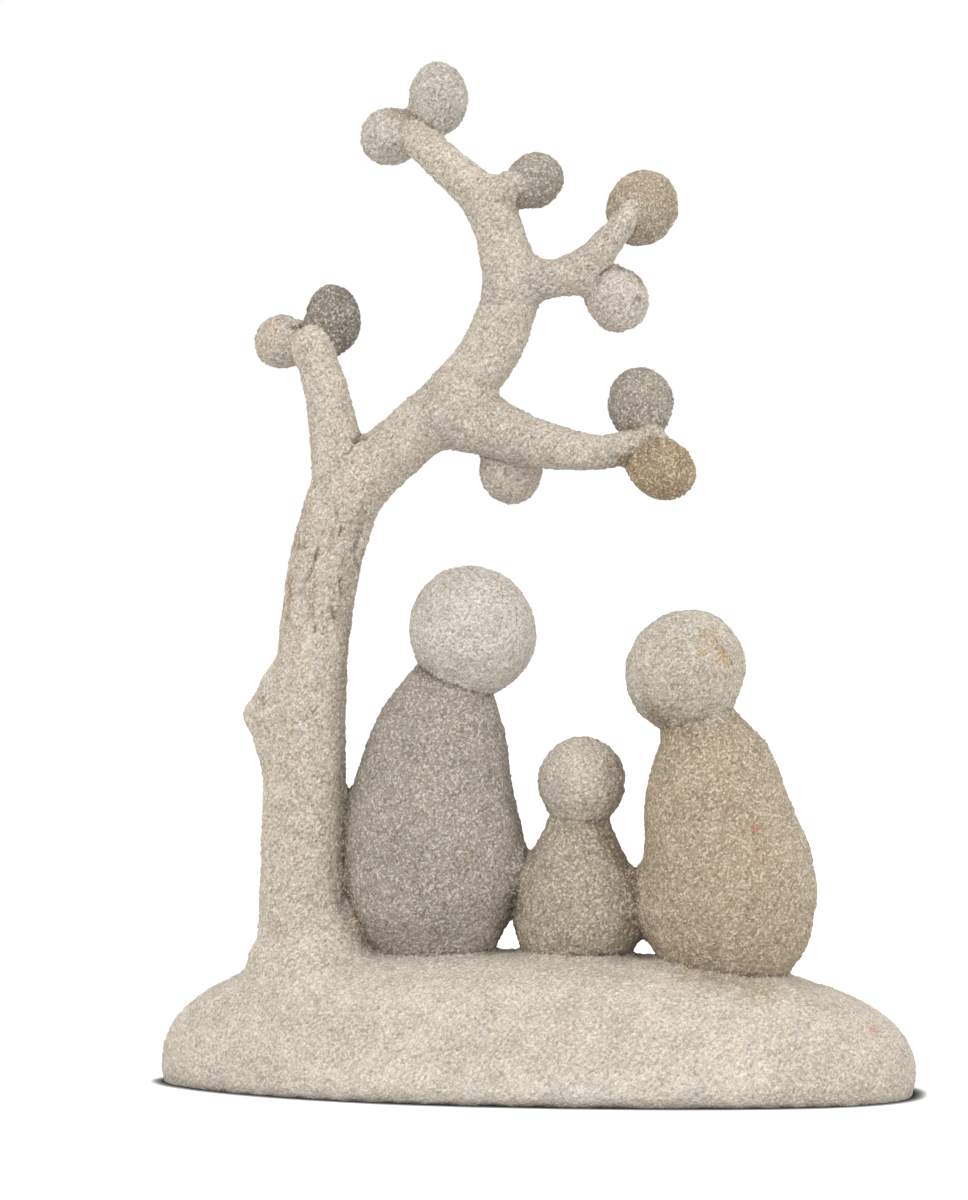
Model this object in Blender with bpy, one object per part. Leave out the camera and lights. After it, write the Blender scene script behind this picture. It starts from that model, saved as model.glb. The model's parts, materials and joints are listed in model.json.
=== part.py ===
"""Family group sculpture, one casting in crushed stone.

Three faceless pebble figures, two adults with a child between them, stand on a rounded oblong
base under a leaning tree whose leaves are pebbles. Metres, +Z up, +X along the base to the right,
+Y to the back. The origin is on the underside, at the middle of the base.
"""

import math

import bmesh
import bpy
import numpy as np
from mathutils import Matrix, Vector
from mathutils.bvhtree import BVHTree

# Base
BASE_LENGTH = 0.2546
BASE_DEPTH = 0.092
BASE_HEIGHT = 0.0450
BELLY_HEIGHT = 0.0042  # where the base is widest
FOOT_TUCK = 0.0032  # how far the foot of the base draws in under the belly
LEFT_PLAN, RIGHT_PLAN = 1.75, 2.4  # squareness of the two ends seen from above
LEFT_REACH, RIGHT_REACH = 3.8, 2.5  # how far the flat top runs out towards each end
LEFT_FALL, RIGHT_FALL = 2.25, 2.55  # how steeply each end falls to the belly

# Heights of what stands on the base, each measured up from it
TREE_HEIGHT = 0.298
GREY_ADULT_HEIGHT = 0.129
CHILD_HEIGHT = 0.0725
TAN_ADULT_HEIGHT = 0.118

# Where the child stands, as a share of the base's half length to the right, and how far back each
# one stands, as a share of its half depth. The others stand at the child's and each other's sides.
CHILD_ACROSS = 0.114
TREE_BACK = 0.0
GREY_ADULT_BACK = 0.09
CHILD_BACK = 0.06
TAN_ADULT_BACK = 0.0
CHILD_INTO_GREY_ADULT = 0.0036  # how far the two bodies run into each other
CHILD_INTO_TAN_ADULT = 0.0
TREE_INTO_GREY_ADULT = 0.0

# The webs of stone left between the child and each adult: lower and upper end as shares of the
# child's height, then their thickness and depth
GREY_ADULT_WEB = (0.22, 0.53)
TAN_ADULT_WEB = (0.06, 0.42)
WEB_THICKNESS = 0.006
WEB_DEPTH = 0.020

# How the casting is finished
SKIN = 0.0013  # size of the finest form that the mould keeps
LIMB_FILL = 0.0045  # width of the fillets where limbs grow out of each other and of the base
STONE_FILL = 0.0022  # width of the fillets where a stone sits on what carries it
FACETS = 9400
SUNK = 0.006  # how far a form runs into what carries it

# Body outlines, from the foot up: height, lean to the right and half width, as shares of the
# figure's height, and the head's height, lean, radius, long axis and that axis's tilt in degrees
GREY_ADULT_BODY = (
    (-0.01, -0.006, 0.146),
    (0.05, -0.010, 0.186),
    (0.11, -0.014, 0.216),
    (0.21, -0.008, 0.236),
    (0.32, -0.006, 0.231),
    (0.42, -0.010, 0.209),
    (0.53, 0.001, 0.186),
    (0.62, 0.007, 0.157),
    (0.68, 0.018, 0.125),
    (0.74, 0.030, 0.085),
)
GREY_ADULT_HEAD = (0.836, 0.095, 0.164, 0.171, -35.0)
CHILD_BODY = (
    (-0.01, 0.000, 0.220),
    (0.05, 0.000, 0.276),
    (0.13, 0.000, 0.292),
    (0.25, 0.006, 0.289),
    (0.36, 0.008, 0.256),
    (0.47, 0.002, 0.210),
    (0.56, 0.001, 0.164),
    (0.68, 0.006, 0.112),
)
CHILD_HEAD = (0.796, 0.018, 0.204, 0.206, 0.0)
TAN_ADULT_BODY = (
    (-0.02, 0.008, 0.155),
    (0.03, 0.004, 0.205),
    (0.10, -0.002, 0.236),
    (0.21, 0.000, 0.249),
    (0.33, -0.002, 0.233),
    (0.46, -0.031, 0.206),
    (0.56, -0.038, 0.179),
    (0.63, -0.044, 0.149),
    (0.68, -0.066, 0.124),
    (0.74, -0.092, 0.085),
)
TAN_ADULT_HEAD = (0.831, -0.122, 0.166, 0.177, 40.0)
BODY_THICKNESS = 0.82  # a body's depth as a share of its width

# Limbs of the tree: right, back, up and radius, in hundredths of the tree's height from its root
TRUNK_RADIUS = 4.55  # beside the grey adult
LIMBS = {
    "trunk": (
        (0.6, 0.0, -5.0, 7.60),
        (0.6, 0.0, 0.8, 6.80),
        (0.1, 0.0, 3.2, 5.45),
        (-0.15, 0.0, 7.9, 5.00),
        (0.0, 0.0, 22.0, TRUNK_RADIUS),
        (1.0, 0.0, 35.0, 3.95),
        (2.4, 0.0, 44.0, 4.10),
        (5.0, 0.0, 51.7, 4.10),
        (9.8, 0.0, 56.0, 3.45),
        (17.4, 0.0, 63.0, 3.22),
        (21.6, 0.0, 68.4, 3.35),
        (23.3, 0.0, 75.0, 3.10),
        (21.05, 0.0, 83.2, 2.65),
        (16.85, 0.3, 87.6, 2.25),
        (12.1, 0.7, 91.8, 1.90),
    ),
    "left_branch": (
        (4.3, 0.0, 50.0, 3.20),
        (3.7, -0.3, 55.8, 2.90),
        (2.7, -0.7, 62.6, 2.50),
        (1.0, -1.3, 67.9, 2.25),
    ),
    "low_branch": (
        (15.2, 0.0, 60.6, 4.00),
        (20.6, -0.6, 59.25, 3.40),
        (25.2, -1.3, 57.5, 2.80),
        (28.6, -1.7, 56.7, 2.55),
        (33.0, -2.0, 56.0, 2.05),
        (37.0, -2.0, 56.7, 1.70),
        (40.0, -2.0, 57.9, 1.20),
    ),
    "high_branch": (
        (22.4, 0.0, 74.3, 3.90),
        (26.1, -0.3, 75.3, 2.60),
        (29.0, -0.7, 75.6, 2.15),
        (32.4, -1.1, 77.4, 1.90),
        (35.4, -1.3, 80.5, 1.62),
        (37.0, -1.3, 83.2, 1.05),
    ),
    "side_twig": (
        (28.0, -0.6, 75.5, 1.95),
        (31.2, -0.7, 75.2, 1.75),
        (33.8, -0.7, 74.3, 1.40),
    ),
    "top_stub": (
        (20.4, 0.0, 83.4, 2.60),
        (23.0, -0.3, 85.7, 1.90),
        (24.7, -0.7, 86.2, 1.15),
    ),
}

GRAFTED = ("left_branch",)  # meets the trunk in a sharp fork

# The knot on the trunk's left: middle and half sizes of its swelling and its nose, same units
KNOT = (
    ((-2.6, 0.0, 25.7), (3.4, 3.2, 7.2)),
    ((-5.25, 0.0, 26.5), (2.0, 1.8, 2.2)),
)

# Pebble leaves: the limb that carries one, the leaf's middle from the limb's tip to the right, the
# back and up, its half length and half width in the limbs' units, its lean in degrees, its stone
PEBBLES = (
    ("trunk", (2.8, 1.6, 4.1), (4.25, 3.42), -2.0, "pale_stone"),
    ("trunk", (-2.7, 1.2, -0.1), (3.45, 3.36), 60.0, "pale_stone"),
    ("top_stub", (1.2, 1.9, 0.3), (3.52, 3.12), 60.0, "grey_stone"),
    ("high_branch", (0.9, 3.4, 0.2), (4.45, 4.05), 25.0, "tan_stone"),
    ("side_twig", (1.5, 1.2, -1.1), (3.85, 3.55), -25.0, "pale_stone"),
    ("low_branch", (-2.1, 2.9, 3.6), (4.3, 3.7), 0.0, "grey_stone"),
    ("low_branch", (0.5, 0.4, -3.65), (4.05, 3.45), 120.0, "tan_stone"),
    ("low_branch", (-16.9, 4.3, -3.7), (3.95, 3.66), 0.0, "pale_stone"),
    ("left_branch", (2.1, 2.4, 3.25), (4.05, 3.18), -6.0, "grey_stone"),
    ("left_branch", (-3.8, 1.7, 0.75), (3.15, 3.05), 0.0, "pale_stone"),
)
PEBBLE_THICKNESS = 0.94  # a pebble's depth as a share of its half width

# Stones: colour and roughness
STONES = {
    "pale_stone": ((0.56, 0.50, 0.42, 1.0), 0.92),
    "grey_stone": ((0.37, 0.33, 0.28, 1.0), 0.94),
    "tan_stone": ((0.45, 0.37, 0.26, 1.0), 0.93),
    "brown_stone": ((0.42, 0.35, 0.26, 1.0), 0.93),
}

RING_POINTS = 48
SPAN_STEPS = 6


def through(stations):
    """Rows on a smooth curve through the stations, its two ends included."""
    rows = np.array(stations, float)
    ends = np.vstack([2 * rows[0] - rows[1], rows, 2 * rows[-1] - rows[-2]])
    t = np.linspace(0.0, 1.0, SPAN_STEPS, endpoint=False)[:, None]
    spans = []
    for a, b, c, d in zip(ends, ends[1:], ends[2:], ends[3:]):
        bend = (2 * a - 5 * b + 4 * c - d) * t**2 + (3 * b - a - 3 * c + d) * t**3
        spans.append(0.5 * (2 * b + (c - a) * t + bend))
    return np.vstack([*spans, rows[-1]])


def loft(rings):
    """A closed form through rings of points, with one face at each end."""
    form = bmesh.new()
    loops = [[form.verts.new(point) for point in ring] for ring in rings]
    for low, high in zip(loops, loops[1:]):
        for i in range(len(low)):
            j = (i + 1) % len(low)
            form.faces.new((low[i], low[j], high[j], high[i]))
    form.faces.new(loops[0])
    form.faces.new(loops[-1])
    bmesh.ops.recalc_face_normals(form, faces=form.faces)
    return form


def ellipsoid(middle, half_sizes, lean=0.0):
    """A rounded stone, its long axis leaning to the right by some degrees."""
    form = bmesh.new()
    bmesh.ops.create_icosphere(form, subdivisions=4, radius=1.0)
    turn = Matrix.Rotation(math.radians(lean), 4, "Y")
    place = Matrix.Translation(middle) @ turn @ Matrix.Diagonal((*half_sizes, 1.0))
    bmesh.ops.transform(form, matrix=place, verts=form.verts)
    return form


def power(value, exponent):
    return math.copysign(abs(value) ** exponent, value)


def between(left, right, direction):
    """A value that changes from the base's left end, direction -1, to its right end, 1."""
    return left + (right - left) * (direction + 1) / 2


def base_top(across, back):
    """Height of the base's upper surface over a point of the ground."""
    u = 2 * across / BASE_LENGTH
    v = 2 * back / BASE_DEPTH
    direction = u / max(math.hypot(u, v), 1e-6)
    plan = between(LEFT_PLAN, RIGHT_PLAN, direction)
    reach = between(LEFT_REACH, RIGHT_REACH, direction)
    fall = between(LEFT_FALL, RIGHT_FALL, direction)
    outward = (abs(u) ** plan + abs(v) ** plan) ** (1 / plan)
    rise = max(0.0, 1.0 - outward**reach) ** (1 / fall)
    return BELLY_HEIGHT + (BASE_HEIGHT - BELLY_HEIGHT) * rise


def base_ring(height, outward_of, draw_in):
    """One level of the base: its outline drawn towards the middle."""
    ring = []
    for i in range(2 * RING_POINTS):
        angle = math.pi * i / RING_POINTS
        direction = math.cos(angle)
        plan = between(LEFT_PLAN, RIGHT_PLAN, direction)
        outward = outward_of(direction)
        x = (BASE_LENGTH / 2 * outward - draw_in) * power(direction, 2 / plan)
        y = (BASE_DEPTH / 2 * outward - draw_in) * power(math.sin(angle), 2 / plan)
        ring.append((x, y, height(direction)))
    return ring


def base():
    """The rounded oblong slab, run on below the ground until it is cut flat."""
    rings = [base_ring(lambda _: -SUNK, lambda _: 1.0, FOOT_TUCK)]
    levels = 8
    for k in range(levels):
        rise = k / levels
        draw_in = FOOT_TUCK * (1 - math.sqrt(1 - (1 - rise) ** 2))
        rings.append(base_ring(lambda _, r=rise: BELLY_HEIGHT * r, lambda _: 1.0, draw_in))
    steps = 24
    for k in range(steps):
        turn = math.pi / 2 * k / steps

        def outward_of(direction, turn=turn):
            return math.cos(turn) ** (2 / between(LEFT_REACH, RIGHT_REACH, direction))

        def height_of(direction, turn=turn):
            share = math.sin(turn) ** (2 / between(LEFT_FALL, RIGHT_FALL, direction))
            return BELLY_HEIGHT + (BASE_HEIGHT - BELLY_HEIGHT) * share

        rings.append(base_ring(height_of, outward_of, 0.0))
    return loft(rings)


def widest(outline, height):
    """Half the greatest width of a figure's body."""
    return max(half_width for _, _, half_width in outline) * height


CHILD_SIDE = widest(CHILD_BODY, CHILD_HEIGHT)
GREY_ADULT_SIDE = widest(GREY_ADULT_BODY, GREY_ADULT_HEIGHT)
TAN_ADULT_SIDE = widest(TAN_ADULT_BODY, TAN_ADULT_HEIGHT)
TRUNK_SIDE = TRUNK_RADIUS * TREE_HEIGHT / 100
CHILD_X = CHILD_ACROSS * BASE_LENGTH / 2
GREY_ADULT_X = CHILD_X - CHILD_SIDE - GREY_ADULT_SIDE + CHILD_INTO_GREY_ADULT
TAN_ADULT_X = CHILD_X + CHILD_SIDE + TAN_ADULT_SIDE - CHILD_INTO_TAN_ADULT
TREE_X = GREY_ADULT_X - GREY_ADULT_SIDE - TRUNK_SIDE + TREE_INTO_GREY_ADULT


def standing_point(x, back_share):
    """The point of the base's upper surface where a figure stands."""
    y = back_share * BASE_DEPTH / 2
    return np.array((x, y, base_top(x, y)))


def body(foot, height, outline):
    """A figure's rounded body, from a little inside the base up to the middle of its head."""
    rings = []
    for up, lean, half_width in through(outline):
        middle = foot + np.array((lean, 0.0, up)) * height
        ring = []
        for i in range(RING_POINTS):
            angle = 2 * math.pi * i / RING_POINTS
            across = math.cos(angle) * half_width * height
            back = math.sin(angle) * half_width * height * BODY_THICKNESS
            ring.append(middle + np.array((across, back, 0.0)))
        rings.append(ring)
    rings.insert(0, [point - np.array((0.0, 0.0, SUNK)) for point in rings[0]])
    return loft(rings)


def head(foot, height, head_shares):
    """A plain rounded stone with no face, nearly a ball."""
    up, lean, radius, long_radius = (share * height for share in head_shares[:4])
    middle = foot + np.array((lean, 0.0, up))
    return ellipsoid(Vector(middle), (radius, radius, long_radius), head_shares[4])


def web(x, y, ends):
    """The stone that fills the narrow gap between the child and an adult."""
    low, high = (BASE_HEIGHT + share * CHILD_HEIGHT for share in ends)
    half_sizes = (WEB_THICKNESS / 2, WEB_DEPTH / 2, (high - low) / 2)
    return ellipsoid(Vector((x, y, (low + high) / 2)), half_sizes)


def tree_point(station):
    """A station's place in metres: the root is on the crest line of the base."""
    root = np.array((TREE_X, TREE_BACK * BASE_DEPTH / 2, BASE_HEIGHT))
    return root + np.array(station[:3]) * TREE_HEIGHT / 100


def limb(stations):
    """A tapering limb. All limbs run within the tree's plane, so the Y axis lies across them."""
    rows = through(stations)
    points = [tree_point(row) for row in rows]
    rings = []
    for i, point in enumerate(points):
        along = points[min(i + 1, len(points) - 1)] - points[max(i - 1, 0)]
        along = along / np.linalg.norm(along)
        side = np.cross((0.0, 1.0, 0.0), along)
        side = side / np.linalg.norm(side)
        back = np.cross(along, side)
        radius = rows[i][3] * TREE_HEIGHT / 100
        ring = []
        for k in range(RING_POINTS):
            angle = 2 * math.pi * k / RING_POINTS
            ring.append(point + radius * (math.cos(angle) * side + math.sin(angle) * back))
        rings.append(ring)
    return loft(rings)


def limb_end(stations):
    radius = stations[-1][3] * TREE_HEIGHT / 100
    return ellipsoid(Vector(tree_point(stations[-1])), (radius, radius, radius))


def swelling(offset, half_sizes):
    unit = TREE_HEIGHT / 100
    return ellipsoid(Vector(tree_point(offset)), [size * unit for size in half_sizes])


def pebble(carrier, offset, half_sizes, lean):
    """A pebble leaf, fused to the limb that carries it."""
    unit = TREE_HEIGHT / 100
    middle = tree_point(LIMBS[carrier][-1]) + np.array(offset) * unit
    length, width = (size * unit for size in half_sizes)
    return ellipsoid(Vector(middle), (width, width * PEBBLE_THICKNESS, length), lean)


def grown_forms():
    """The base and the limbs that grow softly out of each other, each with its stone."""
    forms = [(base(), "pale_stone")]
    for name, stations in LIMBS.items():
        if name not in GRAFTED:
            forms.append((limb(stations), "pale_stone"))
            forms.append((limb_end(stations), "pale_stone"))
    for offset, half_sizes in KNOT:
        forms.append((swelling(offset, half_sizes), "pale_stone"))
    return forms


def set_on_forms():
    """The branch, leaves and figures that sit on the rest with a crease, each with its stone."""
    forms = []
    for name in GRAFTED:
        forms.append((limb(LIMBS[name]), "pale_stone"))
        forms.append((limb_end(LIMBS[name]), "pale_stone"))
    for carrier, offset, half_sizes, lean, stone in PEBBLES:
        forms.append((pebble(carrier, offset, half_sizes, lean), stone))
    grey_adult = standing_point(GREY_ADULT_X, GREY_ADULT_BACK)
    child = standing_point(CHILD_X, CHILD_BACK)
    tan_adult = standing_point(TAN_ADULT_X, TAN_ADULT_BACK)
    figures = (
        (grey_adult, GREY_ADULT_HEIGHT, GREY_ADULT_BODY, GREY_ADULT_HEAD, "grey_stone"),
        (child, CHILD_HEIGHT, CHILD_BODY, CHILD_HEAD, "brown_stone"),
        (tan_adult, TAN_ADULT_HEIGHT, TAN_ADULT_BODY, TAN_ADULT_HEAD, "tan_stone"),
    )
    for foot, height, outline, head_shares, stone in figures:
        forms.append((body(foot, height, outline), stone))
        forms.append((head(foot, height, head_shares), "pale_stone"))
    left = CHILD_X - CHILD_SIDE + CHILD_INTO_GREY_ADULT / 2
    right = CHILD_X + CHILD_SIDE - CHILD_INTO_TAN_ADULT / 2
    forms.append((web(left, (grey_adult[1] + child[1]) / 2, GREY_ADULT_WEB), "grey_stone"))
    forms.append((web(right, (child[1] + tan_adult[1]) / 2, TAN_ADULT_WEB), "tan_stone"))
    return forms


def evaluated_mesh(obj):
    graph = bpy.context.evaluated_depsgraph_get()
    return bpy.data.meshes.new_from_object(obj.evaluated_get(graph))


def united(forms, core=None):
    """One skin around all the forms, and around the core that they sit on."""
    mesh = bpy.data.meshes.new("forms")
    together = bmesh.new()
    if core:
        together.from_mesh(core)
    for form, _ in forms:
        form.to_mesh(mesh)
        together.from_mesh(mesh)
    together.to_mesh(mesh)
    together.free()
    obj = bpy.data.objects.new("forms", mesh)
    bpy.context.collection.objects.link(obj)
    skin = obj.modifiers.new("skin", "REMESH")
    skin.mode = "VOXEL"
    skin.voxel_size = SKIN
    result = evaluated_mesh(obj)
    bpy.data.objects.remove(obj)
    return result


def coordinates(mesh):
    values = np.empty(3 * len(mesh.vertices))
    mesh.vertices.foreach_get("co", values)
    return values.reshape(-1, 3)


def relax(mesh, passes, concave_only):
    """Moves vertices towards their neighbours' middle, in creases alone or everywhere."""
    ends = np.empty(2 * len(mesh.edges), int)
    mesh.edges.foreach_get("vertices", ends)
    first, second = ends.reshape(-1, 2).T
    count = np.bincount(ends, minlength=len(mesh.vertices))[:, None]
    points = coordinates(mesh)
    normals = np.empty_like(points)
    for _ in range(passes):
        total = np.zeros_like(points)
        for axis in range(3):
            total[:, axis] = np.bincount(first, points[second, axis], len(points))
            total[:, axis] += np.bincount(second, points[first, axis], len(points))
        step = 0.5 * (total / count - points)
        if concave_only:
            mesh.vertex_normals.foreach_get("vector", normals.ravel())
            outward = (step * normals).sum(axis=1, keepdims=True)
            step = np.where(outward > 0, step, 0.0)
        points += step
        mesh.vertices.foreach_set("co", points.ravel())
        mesh.update()


def cut_flat_below(mesh):
    """Cuts the underside flat on the ground and closes it."""
    form = bmesh.new()
    form.from_mesh(mesh)
    geometry = [*form.verts, *form.edges, *form.faces]
    ground = {"plane_co": (0, 0, 0), "plane_no": (0, 0, 1), "clear_inner": True}
    cut = bmesh.ops.bisect_plane(form, geom=geometry, dist=1e-6, **ground)
    rim = [item for item in cut["geom_cut"] if isinstance(item, bmesh.types.BMEdge)]
    for vert in {vert for edge in rim for vert in edge.verts}:
        vert.co.z = 0.0
    underside = bmesh.ops.edgeloop_fill(form, edges=rim)["faces"]
    bmesh.ops.recalc_face_normals(form, faces=form.faces)
    bmesh.ops.triangulate(form, faces=underside)
    for face in form.faces:
        face.smooth = face.normal.z > -0.9 or face.calc_center_median().z > 1e-5
    form.to_mesh(mesh)
    form.free()


def stone_material(name):
    colour, roughness = STONES[name]
    material = bpy.data.materials.new(name)
    material.use_nodes = True
    shader = material.node_tree.nodes["Principled BSDF"]
    shader.inputs["Base Color"].default_value = colour
    shader.inputs["Roughness"].default_value = roughness
    shader.inputs["Metallic"].default_value = 0.0
    material.diffuse_color = colour
    return material


def lay_stones(mesh, forms):
    """Each facet takes the stone of the form that it lies on."""
    names = list(STONES)
    for name in names:
        mesh.materials.append(stone_material(name))
    surfaces = [(BVHTree.FromBMesh(form), names.index(stone)) for form, stone in forms]
    for polygon in mesh.polygons:
        nearest = min(surfaces, key=lambda surface: surface[0].find_nearest(polygon.center)[3])
        polygon.material_index = nearest[1]


def cast(name):
    """The whole work as one object."""
    grown = grown_forms()
    set_on = set_on_forms()
    core = united(grown)
    relax(core, round((LIMB_FILL / SKIN) ** 2), concave_only=True)
    mesh = united(set_on, core)
    relax(mesh, round((STONE_FILL / SKIN) ** 2), concave_only=True)
    relax(mesh, 3, concave_only=False)
    obj = bpy.data.objects.new(name, mesh)
    bpy.context.collection.objects.link(obj)
    facets = obj.modifiers.new("facets", "DECIMATE")
    facets.ratio = FACETS / (2 * len(mesh.polygons))
    mesh = evaluated_mesh(obj)
    obj.modifiers.clear()
    cut_flat_below(mesh)
    lay_stones(mesh, grown + set_on)
    obj.data = mesh
    mesh.name = name
    for form, _ in grown + set_on:
        form.free()
    return obj


for leftover in list(bpy.data.objects):
    bpy.data.objects.remove(leftover)
cast("family_group")
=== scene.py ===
import json
import math

import bpy
import numpy as np
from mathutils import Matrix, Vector

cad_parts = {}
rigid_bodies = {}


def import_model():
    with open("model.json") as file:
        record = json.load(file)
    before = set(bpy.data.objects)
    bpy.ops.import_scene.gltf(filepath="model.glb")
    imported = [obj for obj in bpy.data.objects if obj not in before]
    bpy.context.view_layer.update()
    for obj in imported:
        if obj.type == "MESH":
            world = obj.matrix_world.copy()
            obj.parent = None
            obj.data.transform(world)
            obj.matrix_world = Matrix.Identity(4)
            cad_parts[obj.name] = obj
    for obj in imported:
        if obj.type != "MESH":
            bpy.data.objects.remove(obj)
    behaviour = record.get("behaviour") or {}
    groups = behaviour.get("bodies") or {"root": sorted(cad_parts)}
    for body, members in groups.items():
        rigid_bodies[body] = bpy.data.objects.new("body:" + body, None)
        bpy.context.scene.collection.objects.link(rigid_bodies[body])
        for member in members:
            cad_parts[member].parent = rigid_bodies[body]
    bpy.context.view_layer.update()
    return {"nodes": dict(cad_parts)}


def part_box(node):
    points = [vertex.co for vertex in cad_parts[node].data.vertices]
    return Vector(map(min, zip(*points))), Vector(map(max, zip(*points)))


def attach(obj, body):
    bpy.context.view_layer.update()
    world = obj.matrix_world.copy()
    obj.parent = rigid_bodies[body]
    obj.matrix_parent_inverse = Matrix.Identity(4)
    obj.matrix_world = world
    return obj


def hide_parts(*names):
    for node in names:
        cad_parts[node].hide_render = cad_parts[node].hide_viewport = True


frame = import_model()

MM = 0.001
NODE = "family_group"

# Stone skin
GRAIN_MESH = 0.76 * MM
SMOOTHING = 2
RELIEF = {  # size of each relief's forms and its height
    "lumps": (8.0 * MM, 0.9 * MM),
    "sand": (1.5 * MM, 0.9 * MM),
    "grit": (0.8 * MM, 0.9 * MM),
}
HOLLOW_PASSES = 20
HOLLOW_SOFTENING = 3
HOLLOW_START, HOLLOW_CUT = 0.12, 0.6  # depth in mm from which a crease is cut, and how much more
SEAM_WIDTH, SEAM_CUT = 0.9, 0.7  # mm, of the line between two stones
FLAT_CUT, FLAT_SOIL_AND_SHADE = 0.3, 0.2  # shares of that line's cut and of its soil and painted shade where the stone isn't hollow
SEAM_GAIN = 2.0  # how much those shares grow for each mm of hollow
FOOT_CALM = (5.0 * MM, 0.2)  # the height below which the relief fades, and what is left at the foot
BELOW_GROUND = 3.0 * MM  # how far the skin runs on below the foot until it is cut flat

# Tints: how they meet, and how soil, stains and painted shade and light lie on them
TINT_MEETING = 0.35  # mm over which one tint gives way to the next
TINT_FRAYING = ((0.9, 0.45), (4.0, 0.35))  # size and reach in mm of the frayed edges
PATCHES = ((1.0, 0.4), (3.0, 0.3))  # size in mm and strength of the patches of soil, stains and painted shade
RAGGED_PATH = (1.3, 0.5)  # size in mm and strength of a path's ragged edge
FRONT_FADE = 3.0  # how quickly a mark on the front ends where the surface turns away
HOLLOW_SOIL_AND_SHADE = (0.12, 0.6, 0.5)  # depth in mm where soil and painted shade begin, their share for each mm, their limit
SEAM_SOIL_AND_SHADE = 0.52
CREASE_SOIL = 0.4
MOST_SOIL_AND_SHADE = 0.9

# Grain
GRAIN_SIZE = 0.8 * MM
GRAIN_COLOURS = (  # chance, then the share of the tint's red, green and blue that a grain keeps
    (0.0, (0.70, 0.60, 0.48)),
    (0.08, (0.82, 0.78, 0.72)),
    (0.35, (0.91, 0.90, 0.88)),
    (1.0, (1.0, 1.0, 1.0)),
)
BASE_GRAIN = ((38.0, 50.0), (0.6, 1.0))  # heights in mm, and how strong the grain is there
GRAIN_EDGES = ((0.35, 1.0), (0.85, 0.76))  # distance from a grain's middle, then light
GRAIN_BUMP = (0.7, 0.35 * MM)  # strength and height
CRYSTAL_SIZE = 0.62 * MM
CRYSTAL_SHARES = ((0.6, 0.0), (0.96, 0.26))  # chance, then how far a grain is a crystal
MOTTLING = ((0.5 * MM, 0.83), (2.6 * MM, 0.9), (7 * MM, 0.84), (24 * MM, 0.91))  # size, least light
MOTTLING_SPREAD = (0.32, 0.68)  # the noise's values where it is darkest and lightest
WARM_SIZE = 2.2 * MM
WARM_SHARES = ((0.45, 0.0), (0.7, 0.5))
WARM_TINT = (1.0, 0.90, 0.74, 1.0)
GRAIN_SHADE = 1.1  # painted shade and light: darker for each mm a grain lies lower, lighter where it lies higher
SHADE_LIMITS = (0.6, 1.3)
STONE_ROUGHNESS, STONE_SHEEN = 0.9, 0.3

# Stones as the eye sees them, in sRGB of 0 to 255
EXPOSURE = (0.833, 0.843, 0.865)  # red, green and blue of the tints under this studio's light
PALE_BASE = (210, 200, 185)
TRUNK = (211, 201, 185)
BRANCH = (202, 193, 179)
GREY_BODY = (175, 166, 154)
CHILD_BODY = (181, 169, 149)
TAN_BODY = (188, 172, 146)
GREY_ADULT_HEAD = (216, 209, 199)
CHILD_HEAD = (209, 199, 185)
TAN_ADULT_HEAD = (206, 197, 182)
SOIL_AND_SHADE = (98, 84, 67)
OCHRE = (198, 160, 100)
RED = (192, 128, 112)
BROWN_SAND_AND_SHADE = (146, 126, 98)
TAN_SAND = (168, 143, 106)
DARK_SPECK = (92, 80, 68)
GREY_SHADE = (138, 130, 119)
BARK_BROWN = (152, 122, 84)
CREASE_SHADE = (138, 110, 78)
PALE_DUST_AND_LIGHT = (236, 228, 214)
PALE_CRYSTAL = (246, 240, 226)

# Base, in mm
BASE_LENGTH, BASE_DEPTH, BASE_HEIGHT, BELLY_HEIGHT = 254.6, 92.0, 45.0, 4.2
LEFT_PLAN, RIGHT_PLAN = 1.75, 2.4  # squareness of the two ends seen from above
LEFT_REACH, RIGHT_REACH = 3.8, 2.5  # how far the flat top runs out towards each end
LEFT_FALL, RIGHT_FALL = 2.25, 2.55  # how steeply each end falls to the belly
TOP_ZONE = 37.0  # above this height other forms stand on the base

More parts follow.
